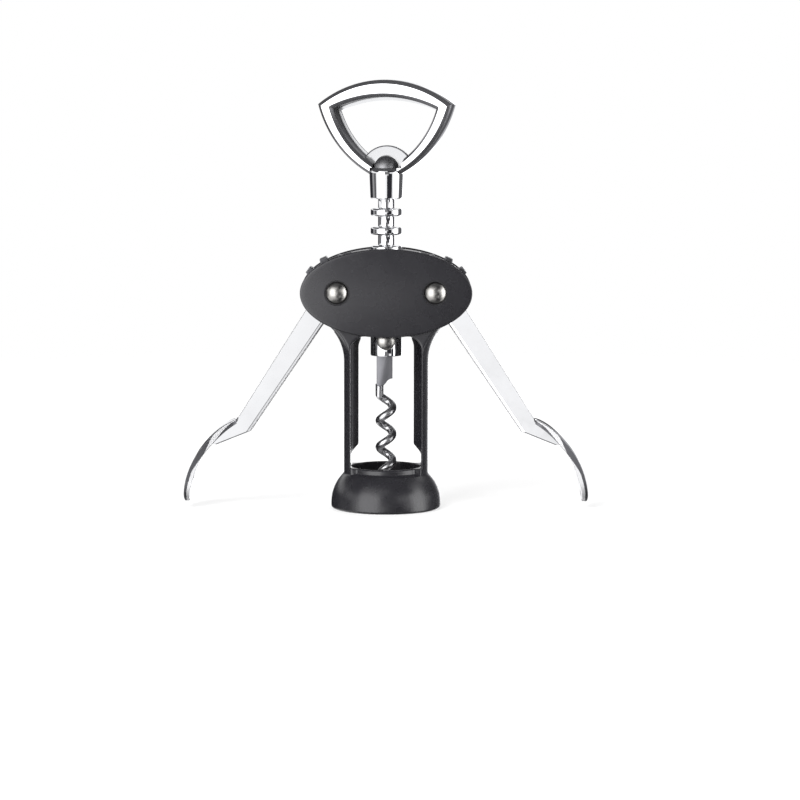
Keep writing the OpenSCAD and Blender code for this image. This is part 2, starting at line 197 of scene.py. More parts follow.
def ramp(tree, source, low, high, start=0.3, end=0.7):
    node = tree.nodes.new("ShaderNodeMapRange")
    node.inputs["From Min"].default_value = start
    node.inputs["From Max"].default_value = end
    node.inputs["To Min"].default_value = low
    node.inputs["To Max"].default_value = high
    tree.links.new(source, node.inputs["Value"])
    return node.outputs["Result"]


def tint(tree, source, colour_a, colour_b):
    node = tree.nodes.new("ShaderNodeMix")
    node.data_type = "RGBA"
    node.inputs["A"].default_value = (*colour_a, 1)
    node.inputs["B"].default_value = (*colour_b, 1)
    tree.links.new(source, node.inputs["Factor"])
    return node.outputs["Result"]


def bump(tree, shader, height, strength, distance):
    node = tree.nodes.new("ShaderNodeBump")
    node.inputs["Strength"].default_value = strength
    node.inputs["Distance"].default_value = distance * MM
    tree.links.new(height, node.inputs["Height"])
    tree.links.new(node.outputs["Normal"], shader.inputs["Normal"])


def black_plastic():
    base, dark, light = (0.012, 0.0115, 0.0135), (0.0160, 0.0155, 0.0185), (0.0185, 0.018, 0.021)
    m, tree, shader = material("satin_black", base, roughness=0.33, Specular_IOR_Level=0.62)
    cloud = ramp(tree, noise(tree, 60, 3), 0, 1)
    tree.links.new(tint(tree, cloud, dark, light), shader.inputs["Base Color"])
    tree.links.new(ramp(tree, noise(tree, 180, 5), 0.24, 0.30), shader.inputs["Roughness"])
    bump(tree, shader, noise(tree, 3500, 3, 0.6), 0.03, 0.02)
    return m


def metal(name, colour, rough_low, rough_high, grain=(1, 1, 1), scale=900, strength=0.05, metallic=1.0):
    m, tree, shader = material(name, colour, metallic=metallic, roughness=rough_low)
    dark = tuple(c * 0.93 for c in colour)
    cloud = ramp(tree, noise(tree, 90, 4), 0, 1)
    tree.links.new(tint(tree, cloud, dark, colour), shader.inputs["Base Color"])
    wear = ramp(tree, noise(tree, scale, 4, 0.6, grain), rough_low, rough_high)
    tree.links.new(wear, shader.inputs["Roughness"])
    bump(tree, shader, noise(tree, scale * 2, 3, 0.6, grain), strength, 0.01)
    return m


def soft(name, colour_a, colour_b, roughness):
    m, tree, shader = material(name, colour_a, roughness=roughness)
    cloud = ramp(tree, noise(tree, 250, 4), 0, 1)
    tree.links.new(tint(tree, cloud, colour_a, colour_b), shader.inputs["Base Color"])
    wear = ramp(tree, noise(tree, 700, 4), roughness - 0.06, roughness + 0.06)
    tree.links.new(wear, shader.inputs["Roughness"])
    bump(tree, shader, noise(tree, 2500, 3), 0.1, 0.02)
    return m


PLASTIC = black_plastic()
CHROME = metal("chrome_plate", (0.94, 0.945, 0.955), 0.045, 0.09, scale=400, strength=0.02)
# Dark copy of the chrome: painted dark reflection and shade on the handle's bevels, walls and shoulder and
# on the lifter's front edge
CHROME_PAINTED_REFLECTION_SHADE = metal("chrome_painted_reflection_shade", (0.15, 0.15, 0.158), 0.22, 0.32, scale=400, strength=0.02, metallic=0.7)
# Grey copy of the chrome: painted grey reflection on the levers' thin edge lines and the paddle bevels
CHROME_PAINTED_GREY_REFLECTION = metal("chrome_painted_grey_reflection", (0.36, 0.36, 0.37), 0.4, 0.5, scale=400, strength=0.02)
# Light, rougher copy of the chrome: a painted highlight, as light bands on the levers' rounded edges and the
# paddle rims
CHROME_PAINTED_HIGHLIGHT = metal("chrome_painted_highlight", (0.98, 0.98, 0.985), 0.58, 0.66, scale=400, strength=0.02)
# Dark copy of the chrome on the levers: painted dark reflection on the paddle rims, painted shade on the
# paddle ends, and painted shade and dark reflection on the gear teeth
LEVER_PAINTED_REFLECTION_SHADE = metal("lever_painted_reflection_shade", (0.16, 0.16, 0.17), 0.4, 0.5, scale=400, strength=0.02)
SHANK_STEEL = metal("shank_steel", (0.31, 0.31, 0.33), 0.5, 0.6, grain=(3, 3, 1), scale=900, strength=0.12)
NICKEL = metal("satin_nickel", (0.45, 0.44, 0.42), 0.26, 0.34, scale=1500, strength=0.04)
LIFTER = metal("lifter_steel", (0.31, 0.312, 0.315), 0.16, 0.26, grain=(1, 1, 12), scale=700, strength=0.06)
WORM_STEEL = metal("worm_steel", (0.62, 0.62, 0.63), 0.26, 0.36, grain=(1, 1, 3), scale=900, strength=0.05)
DOME_STEEL = metal("dome_steel", (0.36, 0.36, 0.37), 0.46, 0.54, scale=900, strength=0.05)
NYLON = soft("natural_nylon", (0.74, 0.73, 0.67), (0.80, 0.79, 0.74), 0.4)
RUBBER = soft("seat_rubber", (0.05, 0.05, 0.05), (0.075, 0.075, 0.075), 0.7)

SLOT_MATERIAL = {"black_plastic": PLASTIC, "chrome": CHROME, "pin_steel": NICKEL, "lifter_steel": LIFTER,
                 "worm_steel": WORM_STEEL, "nylon": NYLON, "seat_rubber": RUBBER}
NODE_SLOT = {s["node"]: s["material_slot"] for s in frame["record"]["subparts"]}
for node_name, node_object in frame["nodes"].items():
    node_object.data.materials.clear()
    node_object.data.materials.append(SLOT_MATERIAL[NODE_SLOT[node_name]])


# Material indices of a piece: 0 is the material of its slot, and its extra ones follow from 1 on.
# The cap lifter's only extra is the chrome with painted dark reflection and shade, the spindle's dome and
# the worm's shank are the only extra of their pieces.
HANDLE_EXTRA = (CHROME_PAINTED_REFLECTION_SHADE, LIFTER)
# the handle's faces painted with dark reflection and shade, and its steel flange
PAINTED_REFLECTION_SHADE, FLANGE = 1, 2
LEVER_EXTRA = (CHROME_PAINTED_REFLECTION_SHADE, CHROME_PAINTED_GREY_REFLECTION, LEVER_PAINTED_REFLECTION_SHADE, CHROME_PAINTED_HIGHLIGHT)
# the levers' faces painted with grey reflection, with dark reflection and shade, and with a light band of
# painted highlight
GREY_REFLECTION_PAINT, LEVER_SHADE_PAINT, HIGHLIGHT_PAINT = 2, 3, 4
DOME, SHANK = 1, 1


def finish_piece(o, body, slot, node, extra=()):
    """Dresses a piece, makes it ride on its body and hides the node that it stands for."""
    index = [p.material_index for p in o.data.polygons]
    o.data.materials.clear()
    for m in (SLOT_MATERIAL[slot], *extra):
        o.data.materials.append(m)
    o.data.polygons.foreach_set("material_index", [i if extra else 0 for i in index])
    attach(o, body)
    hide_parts(node)


# ---- camera, light and floor ----

# the place of the camera in mm, its lens in mm, and its downward pitch and roll in degrees
CAMERA_AT, CAMERA_LENS, CAMERA_PITCH, CAMERA_ROLL = (5.03, -1000, 151.09), 125.63, 6.402, 0.114


def make_camera():
    data = bpy.data.cameras.new("camera")
    data.lens = CAMERA_LENS
    data.sensor_width = 36
    data.clip_end = 10
    camera = bpy.data.objects.new("camera", data)
    bpy.context.scene.collection.objects.link(camera)
    tilt = Matrix.Rotation(math.radians(90 - CAMERA_PITCH), 4, "X")
    roll = Matrix.Rotation(math.radians(CAMERA_ROLL), 4, "Z")
    camera.matrix_world = Matrix.Translation(Vector(CAMERA_AT) * MM) @ tilt @ roll
    bpy.context.scene.camera = camera


def area_light(name, size, power, place):
    """A lamp aimed at the middle of the tool and not mirrored in the metal. Size and place are in mm."""
    target = (0, 0, 70)
    data = bpy.data.lights.new(name, "AREA")
    data.shape = "RECTANGLE"
    data.size, data.size_y = size[0] * MM, size[1] * MM
    data.energy = power
    lamp = bpy.data.objects.new(name, data)
    bpy.context.scene.collection.objects.link(lamp)
    lamp.location = Vector(place) * MM
    lamp.rotation_euler = (Vector(target) - Vector(place)).to_track_quat("-Z", "Y").to_euler()
    lamp.visible_glossy = False


def smooth_band(tree, value, centre, half, soft_edge):
    """1 within half of centre, falling to 0 over soft_edge."""
    away = tree.nodes.new("ShaderNodeMath")
    away.operation = "SUBTRACT"
    away.inputs[1].default_value = centre
    size = tree.nodes.new("ShaderNodeMath")
    size.operation = "ABSOLUTE"
    fall = tree.nodes.new("ShaderNodeMapRange")
    fall.interpolation_type = "SMOOTHSTEP"
    fall.inputs["From Min"].default_value = half
    fall.inputs["From Max"].default_value = half + soft_edge
    fall.inputs["To Min"].default_value = 1
    fall.inputs["To Max"].default_value = 0
    tree.links.new(value, away.inputs[0])
    tree.links.new(away.outputs[0], size.inputs[0])
    tree.links.new(size.outputs[0], fall.inputs["Value"])
    return fall.outputs["Result"]


def times(tree, a, b):
    node = tree.nodes.new("ShaderNodeMath")
    node.operation = "MULTIPLY"
    for i, v in enumerate((a, b)):
        if isinstance(v, (int, float)):
            node.inputs[i].default_value = v
        else:
            tree.links.new(v, node.inputs[i])
    return node.outputs[0]


def patch(tree, azimuth, elevation, across, upright, strength=1):
    """A soft-edged patch of the room. across and upright give its centre, half size and soft edge.

    Without across it goes all the way round.
    """
    spot = smooth_band(tree, elevation, *upright)
    if across:
        spot = times(tree, smooth_band(tree, azimuth, *across), spot)
    return times(tree, spot, strength)


# All in degrees: azimuth from the camera's side, positive to the right, and elevation.
# The level in which the upright fronts see the room
LEVEL = (-6, 13, 6)
# The dark flags of the room, which the metal reflects: across, upright, strength
FLAGS = [
    ((22, 16, 3), (-9, 6, 3), 1),
    ((27, 12, 3), LEVEL, 1),
    ((51, 8, 3), (-26, 16, 4), 1),
    ((40, 28, 6), (44, 14, 6), 1),
    ((40, 28, 6), (-56, 18, 6), 1),
    ((-115, 48, 8), (46, 20, 6), 1),
    ((133, 30, 6), (-8, 34, 12), 0.92),
    ((-140, 27, 3), LEVEL, 1),
    ((-102, 10, 3), LEVEL, 0.72),
    ((-85, 7, 4), LEVEL, 0.92),
    (None, (90, 38, 14), 0.9),
    (None, (-90, 32, 8), 0.85),
]
# In front of the tool, a flag above and below the narrow level that its flat fronts see
FRONT_ACROSS, FRONT_UPRIGHT, FRONT_GAP, FRONT_STRENGTH = (6, 14, 8), (-6, 36, 10), (-6, 4.5, 4), 0.85
# Bright boxes: the left one raises the room's strength up to LEFT_POWER, the others add theirs
LEFT_BOX, LEFT_POWER = ((-37, 19, 10), (2, 22, 14)), 3.0
BOXES = [((74, 12, 10), (2, 22, 14), 2.4), ((162, 10, 6), LEVEL, 3.0)]
ROOM_PALE, ROOM_DARK, AMBIENT = (1.0, 1.0, 1.01), (0.025, 0.025, 0.03), 0.45


def make_world():
    """White to the camera, a pale room with flags and boxes to glossy rays, an even light to all others."""
    world = bpy.data.worlds.new("studio")
    bpy.context.scene.world = world
    world.use_nodes = True
    tree = world.node_tree
    tree.nodes.clear()
    out = tree.nodes.new("ShaderNodeOutputWorld")
    coords = tree.nodes.new("ShaderNodeTexCoord")
    split = tree.nodes.new("ShaderNodeSeparateXYZ")
    tree.links.new(coords.outputs["Generated"], split.inputs[0])
    minus = times(tree, split.outputs["Y"], -1)
    turn = tree.nodes.new("ShaderNodeMath")
    turn.operation = "ARCTAN2"
    tree.links.new(split.outputs["X"], turn.inputs[0])
    tree.links.new(minus, turn.inputs[1])
    azimuth = times(tree, turn.outputs[0], 180 / math.pi)
    rise = tree.nodes.new("ShaderNodeMath")
    rise.operation = "ARCSINE"
    tree.links.new(split.outputs["Z"], rise.inputs[0])
    elevation = times(tree, rise.outputs[0], 180 / math.pi)
    gap = tree.nodes.new("ShaderNodeMath")
    gap.operation = "SUBTRACT"
    gap.inputs[0].default_value = 1
    tree.links.new(smooth_band(tree, elevation, *FRONT_GAP), gap.inputs[1])
    front = patch(tree, azimuth, elevation, FRONT_ACROSS, FRONT_UPRIGHT, FRONT_STRENGTH)
    dark = times(tree, gap.outputs[0], front)
    for across, upright, strength in FLAGS:
        most = tree.nodes.new("ShaderNodeMath")
        most.operation = "MAXIMUM"
        tree.links.new(dark, most.inputs[0])
        tree.links.new(patch(tree, azimuth, elevation, across, upright, strength), most.inputs[1])
        dark = most.outputs[0]
    room = tint(tree, dark, ROOM_PALE, ROOM_DARK)
    power = ramp(tree, patch(tree, azimuth, elevation, *LEFT_BOX), 1.0, LEFT_POWER, 0, 1)
    for across, upright, more in BOXES:
        total = tree.nodes.new("ShaderNodeMath")
        total.operation = "ADD"
        tree.links.new(power, total.inputs[0])
        tree.links.new(patch(tree, azimuth, elevation, across, upright, more), total.inputs[1])
        power = total.outputs[0]
    rays = tree.nodes.new("ShaderNodeLightPath")
    glossy = tree.nodes.new("ShaderNodeBackground")
    tree.links.new(room, glossy.inputs["Color"])
    tree.links.new(power, glossy.inputs["Strength"])
    plain = tree.nodes.new("ShaderNodeBackground")
    plain.inputs["Color"].default_value = (1, 1, 1, 1)
    ambient = tree.nodes.new("ShaderNodeBackground")
    ambient.inputs["Color"].default_value = (1, 1, 1, 1)
    ambient.inputs["Strength"].default_value = AMBIENT
    shine = tree.nodes.new("ShaderNodeMixShader")
    tree.links.new(rays.outputs["Is Glossy Ray"], shine.inputs[0])
    tree.links.new(ambient.outputs[0], shine.inputs[1])
    tree.links.new(glossy.outputs[0], shine.inputs[2])
    seen = tree.nodes.new("ShaderNodeMixShader")
    tree.links.new(rays.outputs["Is Camera Ray"], seen.inputs[0])
    tree.links.new(shine.outputs[0], seen.inputs[1])
    tree.links.new(plain.outputs[0], seen.inputs[2])
    tree.links.new(seen.outputs[0], out.inputs["Surface"])


# How far the floor glows white by itself, and where it fades out, in metres from the shaft
FLOOR_GLOW, FLOOR_FADE = 0.55, (0.22, 0.6)


def make_floor():
    """A pale floor that keeps the shadow and fades into the white background."""
    bm = bmesh.new()
    bmesh.ops.create_grid(bm, x_segments=1, y_segments=1, size=3)
    floor = new_object("floor", bm, smooth=False)
    floor.location.z = -0.02 * MM
    m, tree, shader = material("pale_floor", (0.93, 0.93, 0.93), roughness=0.9, Specular_IOR_Level=0.0)
    glow = tree.nodes.new("ShaderNodeEmission")
    glow.inputs["Color"].default_value = (1, 1, 1, 1)
    mix = tree.nodes.new("ShaderNodeMixShader")
    clear = tree.nodes.new("ShaderNodeBsdfTransparent")
    fade = tree.nodes.new("ShaderNodeMixShader")
    coords = tree.nodes.new("ShaderNodeTexCoord")
    reach = tree.nodes.new("ShaderNodeVectorMath")
    reach.operation = "LENGTH"
    tree.links.new(coords.outputs["Object"], reach.inputs[0])
    rays = tree.nodes.new("ShaderNodeLightPath")
    seen = tree.nodes.new("ShaderNodeMath")
    seen.operation = "MAXIMUM"
    tree.links.new(rays.outputs["Is Camera Ray"], seen.inputs[0])
    tree.links.new(rays.outputs["Is Glossy Ray"], seen.inputs[1])
    tree.links.new(times(tree, seen.outputs[0], FLOOR_GLOW), mix.inputs[0])
    tree.links.new(shader.outputs[0], mix.inputs[1])
    tree.links.new(glow.outputs[0], mix.inputs[2])
    tree.links.new(ramp(tree, reach.outputs["Value"], 0, 1, *FLOOR_FADE), fade.inputs[0])
    tree.links.new(mix.outputs[0], fade.inputs[1])
    tree.links.new(clear.outputs[0], fade.inputs[2])
    tree.links.new(fade.outputs[0], tree.nodes["Material Output"].inputs["Surface"])
    floor.data.materials.append(m)
    floor.visible_glossy = False


make_camera()
make_world()
make_floor()
area_light("key", (500, 500), 9, (-450, -600, 650))
area_light("fill", (400, 500), 2.5, (600, -500, 350))
area_light("back", (500, 300), 3.5, (100, 600, 500))
bpy.context.scene.view_settings.view_transform = "Standard"


# ---- outlines ----

def meet(c0, r0, c1, r1):
    """Crossing of two circles, to the right of the line from the first centre to the second."""
    c0, c1 = Vector(c0), Vector(c1)
    v = c1 - c0
    a = (r0 * r0 - r1 * r1 + v.length_squared) / (2 * v.length)
    return c0 + (a * v + math.sqrt(r0 * r0 - a * a) * Vector((v.y, -v.x))) / v.length


def ring_points(d, top_r=TOP_R, side_r=SIDE_R, side_c=SIDE_C, n=40):
    """The handle ring's outline inset by d, or by its own amounts at the top and at the sides."""
    top, side = d if isinstance(d, tuple) else (d, d)
    top_c, left_c = Vector((0, TOP_Z - top_r)), Vector((-side_c[0], side_c[1]))
    corner = meet(top_c, top_r - top, left_c, side_r - side)
    a = math.degrees(math.atan2(corner.y - top_c.y, corner.x - top_c.x))
    b = math.degrees(math.atan2(corner.y - left_c.y, corner.x - left_c.x))
    low = -math.degrees(math.acos(side_c[0] / (side_r - side)))
    left = arc(side_c, side_r - side, 180 - b, 180 - low, n)[1:]
    right = arc(tuple(left_c), side_r - side, low, b, n)[1:-1]
    return arc(tuple(top_c), top_r - top, a, 180 - a, n) + left + right


def hole_points(d):
    """The outline of the handle's hole: flatter at the top than the ring's outside, and wider below."""
    return ring_points(d, HOLE_TOP_R, HOLE_SIDE_R, HOLE_SIDE_C)


def inset(points, d):
    """A closed outline, counterclockwise, moved inwards by d with mitred corners."""
    out = []
    n = len(points)
    for i in range(n):
        p, q, r = Vector(points[i - 1]), Vector(points[i]), Vector(points[(i + 1) % n])
        u, v = (q - p).normalized(), (r - q).normalized()
        nu, nv = Vector((-u.y, u.x)), Vector((-v.y, v.x))
        m = nu + nv
        out.append(tuple(q + m * (d / max(0.5, 1 + nu.dot(nv)))))
    return out


def slab(name, outline, profile, edges=None):
    """A solid from a flat outline in X and Z, which is a function of its inset.

    profile gives (depth, inset) from front to back, edges the material index of its steps where it isn't 0.
    """
    bm = loft([[(x, y, z) for x, z in outline(d)] for y, d in profile])
    n = len(outline(0))
    bm.faces.ensure_lookup_table()
    for step, index in (edges or {}).items():
        for k in range(n):
            bm.faces[step * n + k].material_index = index
    return new_object(name, bm)


def painted(o, index):
    """All faces in one material index."""
    for f in o.data.polygons:
        f.material_index = index
    return o


def both_sides(half, steps):
    """A profile symmetric in depth from (distance from the face, inset) steps."""
    front = [(-half + y, d) for y, d in steps]
    return front + [(-y, d) for y, d in reversed(front)]


def turned(o, angle, axis="Z"):
    o.data.transform(Matrix.Rotation(angle, 4, axis))
    return o


def moved(o, x, y, z):
    o.data.transform(Matrix.Translation(Vector((x, y, z)) * MM))
    return o


def plug(name, r, low, high, n=96):
    """A plain cylinder about Z."""
    return lathe_object(name, [(0, low), (r, low), (r, high), (0, high)], n)


def rod_y(name, x, z, r, y0, y1):
    """A plain cylinder along Y."""
    return moved(turned(plug(name, r, y0, y1, 64), math.radians(-90), "X"), x, 0, z)


def dome_profile(r, h, z, n=12):
    """Points of a spherical cap of base radius r and height h, from its rim up to its top."""
    ball = (r * r + h * h) / (2 * h)
    half = math.degrees(math.asin(r / ball))
    return [(ball * math.sin(math.radians(half * (1 - i / n))),
             z + h - ball + ball * math.cos(math.radians(half * (1 - i / n)))) for i in range(n + 1)]


# ---- handle ----

def make_handle():
    # (distance behind the front face, inset at the top and at the sides)
    bevel = [(0, (1.55, 1.6)), (0.07, (1.36, 1.4)), (1.2, (0.1, 0.3)), (1.5, (0, 0.2))]
    # bevel, straight wall and a thin flange at the back, with painted dark reflection and shade on the bevel
    # and the wall
    bore = [(-1, (4.2, 3.6)), (0, (4.65, 3.85)), (0.07, (4.86, 4.05)), (1.1, (6.1, 5.0)),
            (1.3, (6.18, 5.08)), (5.9, (6.2, 5.1)), (6.0, (7.3, 5.9)), (7.6, (7.3, 5.9))]
    bore = [(y - BAND_T / 2, d) for y, d in bore]
    # the front and back bevels painted with dark reflection
    ring = slab("handle_ring", ring_points, both_sides(BAND_T / 2, bevel), {1: PAINTED_REFLECTION_SHADE, 2: PAINTED_REFLECTION_SHADE, 5: PAINTED_REFLECTION_SHADE})
    hole = slab("hole", hole_points, bore, {2: PAINTED_REFLECTION_SHADE, 3: PAINTED_REFLECTION_SHADE, 4: PAINTED_REFLECTION_SHADE, 5: FLANGE})
    for o in (ring, hole):
        for m in (CHROME, *HANDLE_EXTRA):
            o.data.materials.append(m)
    boolean(ring, hole, "DIFFERENCE")
    # room round the hub's shoulder, which is the part of the hub above shoulder_z; its cut faces are painted
    # with dark reflection and shade
    shoulder_z = 121.4
    room = plug("room", HEAD_POCKET_R, shoulder_z - 0.2, HEAD_SEAT_Z + 0.1)
    boolean(ring, painted(room, PAINTED_REFLECTION_SHADE), "DIFFERENCE")
    hub = lathe_object("hub", [
        (0, HUB_Z), (HUB_R - 0.35, HUB_Z), (HUB_R, HUB_Z + 0.3), (HUB_TOP_R - 0.03, HUB_TOP_Z - 1),
        (HUB_TOP_R, HUB_TOP_Z), (HUB_TOP_R - 0.04, HUB_TOP_Z + 0.5), (5.82, 121.3), (5.5, 121.8),
        (5.05, 122.15), (4.6, HEAD_SEAT_Z), (0, HEAD_SEAT_Z)])
    # the hub's shoulder painted with dark reflection and shade
    for f in hub.data.polygons:
        f.material_index = PAINTED_REFLECTION_SHADE if f.center.z > shoulder_z * MM else 0
    boolean(ring, hub, "UNION")
    pocket = moved(plug("pocket", HEAD_POCKET_R, HEAD_SEAT_Z, HEAD_SEAT_Z + 9), *HEAD_POCKET_C, 0)
    # the pocket's cut faces painted with dark reflection and shade
    boolean(ring, painted(pocket, PAINTED_REFLECTION_SHADE), "DIFFERENCE")
    return sharpen(turned(ring, HANDLE_TURN), 28)


def make_lifter():
    half_w = 7.6

    def outline(d):
        lower = [(d - half_w, HEAD_SEAT_Z + d), (half_w - d, HEAD_SEAT_Z + d)]
        return arc((0, LIFTER_Z), LIFTER_R - d, 28, 152, 48) + lower

    # (depth, inset), with the wider bevel in front, which is painted as a line of dark reflection
    section = [(0.4, 0.45), (0.5, 0.15), (0.65, 0), (1.55, 0), (1.7, 0.1), (1.8, 0.25)]
    plate = slab("lifter_plate", outline, section, {0: PAINTED_REFLECTION_SHADE, 1: PAINTED_REFLECTION_SHADE})
    # the pocket keeps 0.3 mm clear of the spindle's dome, and starts well below the plate
    r, h, start_z = 4.8, 4.4, 110
    dome = dome_profile(r, h, HEAD_SEAT_Z + SPINDLE_HEAD_EDGE)
    boolean(plate, lathe_object("pocket", [(0, start_z), (r, start_z)] + dome), "DIFFERENCE")
    return sharpen(turned(plate, HANDLE_TURN), 40)


def make_spindle():
    r, dome_z = SPINDLE_HEAD_R, HEAD_SEAT_Z + SPINDLE_HEAD_EDGE
    profile = [(0, ROD_Z), (ROD_R, ROD_Z), (ROD_R, HEAD_SEAT_Z), (r, HEAD_SEAT_Z), (r, dome_z)]
    profile += dome_profile(r, SPINDLE_HEAD_H, dome_z, 24)
    o = sharpen(lathe_object("spindle_steel", profile), 40)
    for f in o.data.polygons:
        f.material_index = DOME if f.center.z > HEAD_SEAT_Z * MM else 0
    return o


# ---- rack ----

FIRST_RING_Z = PIVOT_Z + PITCH_R * math.radians(FIRST_TOOTH) - math.pi * PITCH_R * TOOTH_STEP / 360
RACK_STEP = TAU * PITCH_R * TOOTH_STEP / 360


def make_rack():
    """The sleeve with its rings, one for each tooth, which are rounded and filleted."""
    bore_r, top_z, edge = ROD_R + 0.05, HUB_Z - 0.1, RING_EDGE
    profile = [(bore_r, SLEEVE_Z), (SHAFT_R - 0.3, SLEEVE_Z), (SHAFT_R, 69.9)]
    for i in range(TEETH):
        z = FIRST_RING_Z + i * RACK_STEP
        low, high = z - RING_T / 2, z + RING_T / 2
        profile += [(SHAFT_R, low - 0.25), (SHAFT_R + 0.08, low - 0.08), (SHAFT_R + 0.25, low)]
        profile += arc((RING_R - edge, low + edge), edge, -90, 0, 6)
        profile += arc((RING_R - edge, high - edge), edge, 0, 90, 6)
        profile += [(SHAFT_R + 0.25, high), (SHAFT_R + 0.08, high + 0.08), (SHAFT_R, high + 0.25)]
    profile += [(SHAFT_R, HUB_Z - 0.4), (SHAFT_R - 0.2, top_z), (bore_r, top_z)]
    return sharpen(lathe_object("ring_rack", profile, closed=True), 45)


# ---- worm and collar ----

def make_collar():
    r, z0, z1 = COLLAR_R, COLLAR_Z, COLLAR_TOP_Z
    profile = [(0, z0), (r - 0.45, z0), (r - 0.15, z0 + 0.12), (r, z0 + 0.45),
               (r, z1 - 0.4), (r - 0.15, z1 - 0.1), (r - 0.4, z1), (0, z1)]
    o = lathe_object("collar", profile)
    # the flat seat under the head of the cross pin
    boolean(o, rod_y("recess", 0, CROSS_PIN_Z, CROSS_HEAD_R + 0.02, -7, -CROSS_HEAD_Y), "DIFFERENCE")
    return sharpen(o, 35)


def make_worm_pin():
    r, head_r, head_y = CROSS_PIN_R, CROSS_HEAD_R, CROSS_HEAD_Y
    profile = [(0, -4), (r, -4), (r, head_y), (head_r, head_y), (head_r, head_y + 0.55)]
    profile += dome_profile(head_r, CROSS_HEAD_H, head_y + 0.6)
    o = lathe_object("collar_pin", profile, 64)
    return sharpen(moved(turned(o, math.radians(90), "X"), 0, 0, CROSS_PIN_Z), 40)


def wire_ring(centre, r, out, up, sides=20):
    """A ring of points of radius r about centre, through the directions out and up."""
    turns = [TAU * k / sides for k in range(sides)]
    return [centre + r * (math.cos(a) * out + math.sin(a) * up) for a in turns]


def make_worm():
    turns = (HELIX_TOP - WORM_TIP) / WORM_PITCH
    steps = 260
    run = TAU * WORM_R
    length = math.hypot(run, WORM_PITCH)
    rings = []
    for i in range(8):
        # the straight run from the shank, eased into the helix
        z, bend = WIRE_TOP - (WIRE_TOP - HELIX_TOP - 0.45) * i / 7, (i / 8) ** 2
        up = Vector((0, 1 - bend + bend * WORM_PITCH / length, bend * run / length))
        rings.append(wire_ring(Vector((-WORM_R, 0, z)), WIRE_R, Vector((-1, 0, 0)), up))
    for i in range(steps + 1):
        t = i / steps
        a = math.pi - TAU * turns * t
        centre = Vector((WORM_R * math.cos(a), WORM_R * math.sin(a), HELIX_TOP - (HELIX_TOP - WORM_TIP) * t))
        # tapered over the last half turn
        r = WIRE_R * min(1, 0.04 + math.sqrt((1 - t) * turns / 0.5))
        out = Vector((math.cos(a), math.sin(a), 0))
        up = Vector((WORM_PITCH * math.sin(a), -WORM_PITCH * math.cos(a), run)) / length
        rings.append(wire_ring(centre, r, out, up))
    wire = new_object("worm_wire", loft(rings))
    # the flat shank, with a round step down to its narrow foot
    foot_z, top_z, step_r = 44.3, 63.8, 2.5
    step = arc((SHANK_X1, foot_z), step_r, 180, 90, 12)
    points = [(SHANK_X1, top_z), (SHANK_X0, top_z), (SHANK_X0, foot_z), (-WORM_R, 43.6), (-0.9, foot_z)]
    outline = points + [p for p in step if p[0] > -0.1]
    bevel = [(0, 0.25), (0.07, 0.1), (0.25, 0)]
    shank = slab("shank", lambda d: inset(outline, d), both_sides(SHANK_T / 2, bevel))
    painted(shank, SHANK)
    for o in (wire, shank):
        o.data.materials.append(WORM_STEEL)
        o.data.materials.append(SHANK_STEEL)
    boolean(wire, shank, "UNION")
    return sharpen(wire, 35)


# ---- levers ----

def involute(r):
    """Angle in radians by which a tooth's flank has turned at radius r, from the base circle on."""
    p = math.acos(min(1, BASE_R / r))
    return math.tan(p) - p


def gear_outline(d):
    """The geared end, teeth and all, as one closed outline round the left pivot, inset by d."""
    points = []
    for i in range(TEETH):
        centre = math.radians(FIRST_TOOTH + i * TOOTH_STEP)
        radii = [BASE_R + (TIP_R - BASE_R) * k / 6 for k in range(7)]
        half = [TOOTH_W / 2 / PITCH_R + involute(PITCH_R) - involute(r) for r in radii]
        points.append(polar(ROOT_R, centre - half[0]))
        points += [polar(r, centre - h) for r, h in zip(radii, half)]
        points += [polar(r, centre + h) for r, h in zip(radii[::-1], half[::-1])]
        points.append(polar(ROOT_R, centre + half[0]))
        if i < TEETH - 1:
            start, stop = centre + half[0] + 0.08, centre + math.radians(TOOTH_STEP) - half[0] - 0.08
            points += [polar(ROOT_R, start + (stop - start) * k / 3) for k in range(4)]
    last = FIRST_TOOTH + (TEETH - 1) * TOOTH_STEP
    points += [polar(ROOT_R, math.radians(a)) for a in range(int(last) + 18, 300, 8)]
    points += arc((0, 0), STOP_R, -60, -27, 4)
    return [(x - PIVOT_X, z + PIVOT_Z) for x, z in inset(points, d)]


PADDLE_C, PADDLE_R, PADDLE_T, PADDLE_W, PADDLE_TOP_W = (-42.8, 3.5), 30.0, 2.2, 15.0, 9.0
PADDLE_FROM, PADDLE_TO = 109.0, 182.5


def ease(t, start, stop):
    x = min(1, max(0, (t - start) / (stop - start)))
    return x * x * (3 - 2 * x)


def paddle_point(t, h):
    """A point at t from the paddle's upper end (0) to its tip (1), h outwards from its middle line."""
    a = math.radians(PADDLE_FROM + (PADDLE_TO - PADDLE_FROM) * t)
    r = PADDLE_R - PADDLE_T / 2 + 1.1 * (1 - ease(t, 0, 0.4)) + h
    return PADDLE_C[0] + r * math.cos(a), PADDLE_C[1] + r * math.sin(a)


